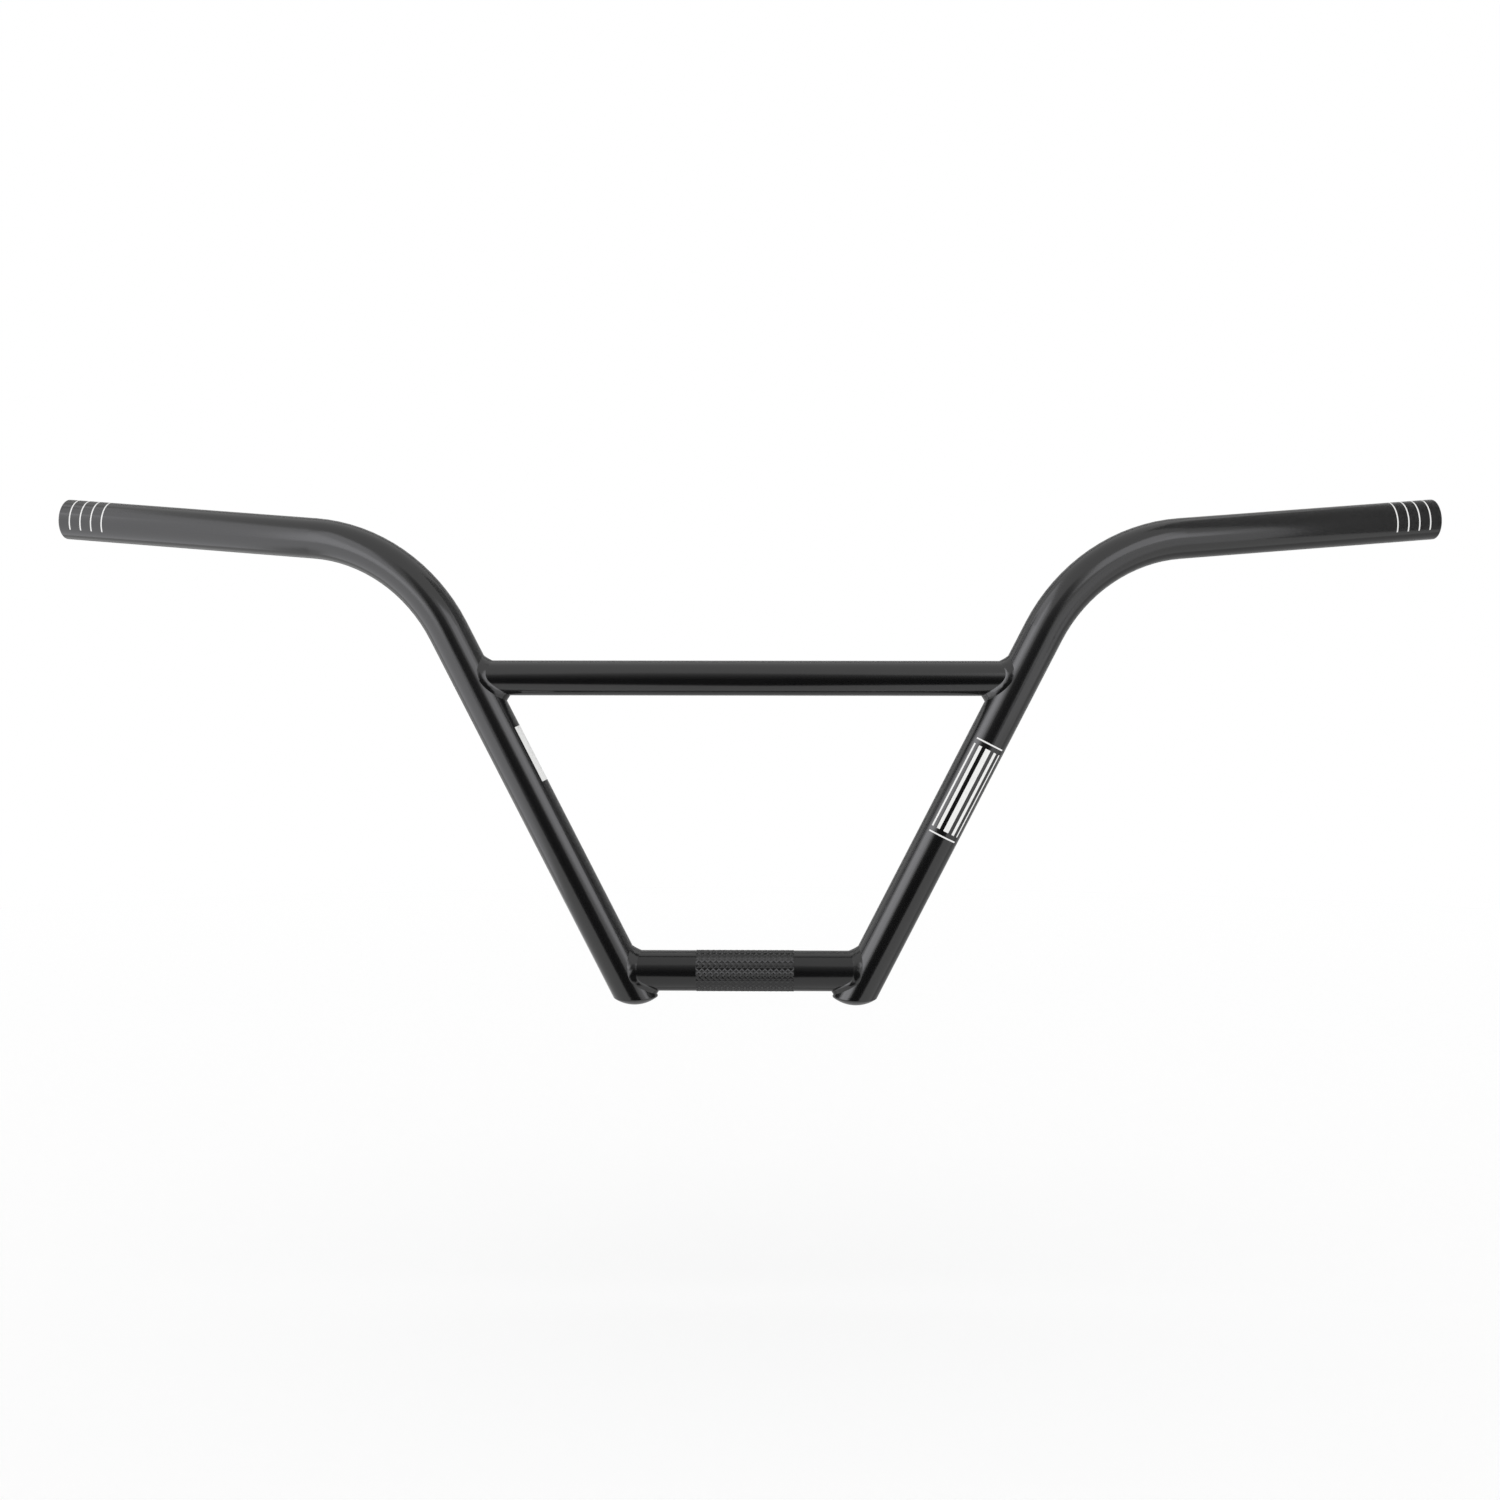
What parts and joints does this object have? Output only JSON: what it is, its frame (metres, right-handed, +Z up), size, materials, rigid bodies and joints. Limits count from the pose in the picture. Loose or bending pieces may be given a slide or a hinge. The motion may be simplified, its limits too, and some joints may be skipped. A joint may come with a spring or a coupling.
{
  "type": "bmx handlebar",
  "caption": "High-rise welded steel bicycle handlebar with bent side tubes, a crossbar and a knurled clamp tube, painted black, for steering a BMX bike.",
  "frame": {"origin": "middle of the clamp tube, on its axis", "axes": "+X along the clamp tube to the rider's left, +Y back to the rider, +Z up in the plane of the risers"},
  "size_m": [0.7692, 0.0639, 0.2779],
  "materials": {
    "black_paint": "semi-gloss black paint over steel tube",
    "white_print": "thin white print on the paint"
  },
  "bodies": {
    "root": {"clamp_tube": "black_paint", "crossbar": "black_paint", "left_side_tube": "black_paint", "left_end_cap": "black_paint", "left_upper_weld": "black_paint", "left_lower_weld": "black_paint", "right_side_tube": "black_paint", "right_end_cap": "black_paint", "right_upper_weld": "black_paint", "right_lower_weld": "black_paint"}
  },
  "joints": []
}
